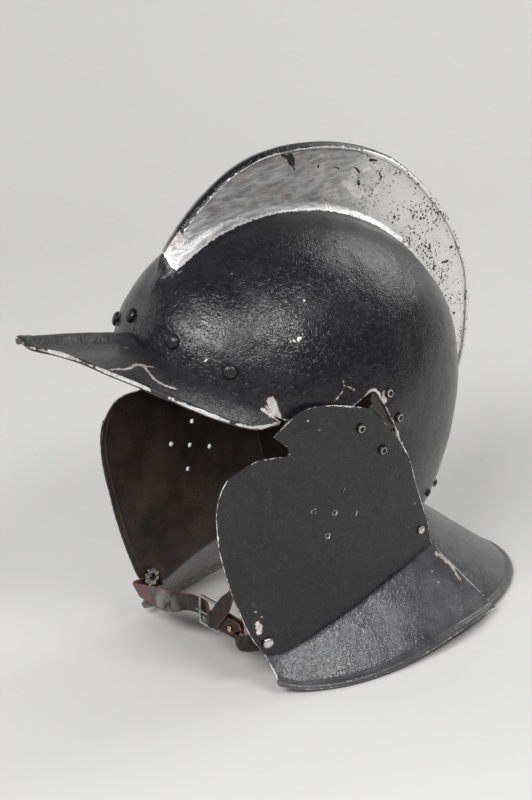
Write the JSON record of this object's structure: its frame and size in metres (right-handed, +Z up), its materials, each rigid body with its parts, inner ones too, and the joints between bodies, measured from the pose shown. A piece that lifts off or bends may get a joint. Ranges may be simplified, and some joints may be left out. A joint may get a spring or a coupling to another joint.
{
  "type": "burgonet",
  "caption": "Open-faced iron helmet with a tall comb, a pointed peak, a flared neck guard and two hinged cheekpieces joined by a buckled leather chin strap.",
  "frame": {"origin": "centre of the bounding box's base, on the surface the helmet stands on", "axes": "+Z up, -Y out over the peak, +X toward the wearer's left; standing on the rims of the cheekpieces and the neck guard"},
  "size_m": [0.2122, 0.3256, 0.3095],
  "materials": {
    "blackened_iron": "satin black paint over hammered iron, worn to bright metal on edges and comb",
    "rivet_iron": "dark polished iron, worn bright on the domes",
    "bare_iron": "bare dulled iron, lightly rusted",
    "leather": "worn red-brown leather, darkened on its face",
    "brass": "dulled brass"
  },
  "bodies": {
    "helmet": {"skull_left": "blackened_iron", "skull_right": "blackened_iron", "neck_guard": "blackened_iron", "lining_band": "leather", "skull_hinge_leaf_left": "bare_iron", "skull_hinge_leaf_right": "bare_iron", "hinge_pin_left": "bare_iron", "hinge_pin_right": "bare_iron", "brow_rivet_middle": "rivet_iron", "brow_rivet_1_left": "rivet_iron", "brow_rivet_1_right": "rivet_iron", "brow_rivet_2_left": "rivet_iron", "brow_rivet_2_right": "rivet_iron", "skull_hinge_rivet_1_left": "rivet_iron", "skull_hinge_rivet_1_right": "rivet_iron", "skull_hinge_rivet_2_left": "rivet_iron", "skull_hinge_rivet_2_right": "rivet_iron", "nape_rivet_1_left": "rivet_iron", "nape_rivet_1_right": "rivet_iron", "nape_rivet_2_left": "rivet_iron", "nape_rivet_2_right": "rivet_iron"},
    "cheek_left": {"cheekpiece_left": "blackened_iron", "cheek_hinge_leaf_left": "bare_iron", "cheek_hinge_rivet_1_left": "rivet_iron", "cheek_hinge_rivet_2_left": "rivet_iron", "corner_rivet_left": "rivet_iron", "strap_rivet_left": "rivet_iron", "strap_washer_left": "bare_iron", "strap_short": "leather", "strap_stud": "brass"},
    "cheek_right": {"cheekpiece_right": "blackened_iron", "cheek_hinge_leaf_right": "bare_iron", "cheek_hinge_rivet_1_right": "rivet_iron", "cheek_hinge_rivet_2_right": "rivet_iron", "corner_rivet_right": "rivet_iron", "strap_rivet_right": "rivet_iron", "strap_washer_right": "bare_iron", "strap_long": "leather"},
    "buckle": {"buckle_frame": "bare_iron"},
    "tongue": {"buckle_tongue": "bare_iron"}
  },
  "joints": [
    {"name": "cheek_left_hinge", "type": "hinge", "parent": "helmet", "child": "cheek_left", "pos_m": [0.08728, 0.02443, 0.15748], "axis": [0, -0.568, 0.8231], "range_deg": [0, 85], "deforming": ["strap_short", "strap_long"]},
    {"name": "cheek_right_hinge", "type": "hinge", "parent": "helmet", "child": "cheek_right", "pos_m": [-0.08728, 0.02443, 0.15748], "axis": [0, 0.568, -0.8231], "range_deg": [0, 85], "deforming": ["strap_short", "strap_long"]},
    {"name": "buckle_swing", "type": "hinge", "parent": "cheek_left", "child": "buckle", "pos_m": [0.032, -0.07118, 0.03937], "axis": [0, 0.1287, 0.9917], "range_deg": [-75, 75], "deforming": ["strap_short", "strap_long"]},
    {"name": "tongue_lift", "type": "hinge", "parent": "buckle", "child": "tongue", "pos_m": [0.032, -0.07118, 0.03937], "axis": [0, -0.1287, -0.9917], "range_deg": [0, 90], "deforming": ["strap_short", "strap_long"]}
  ]
}
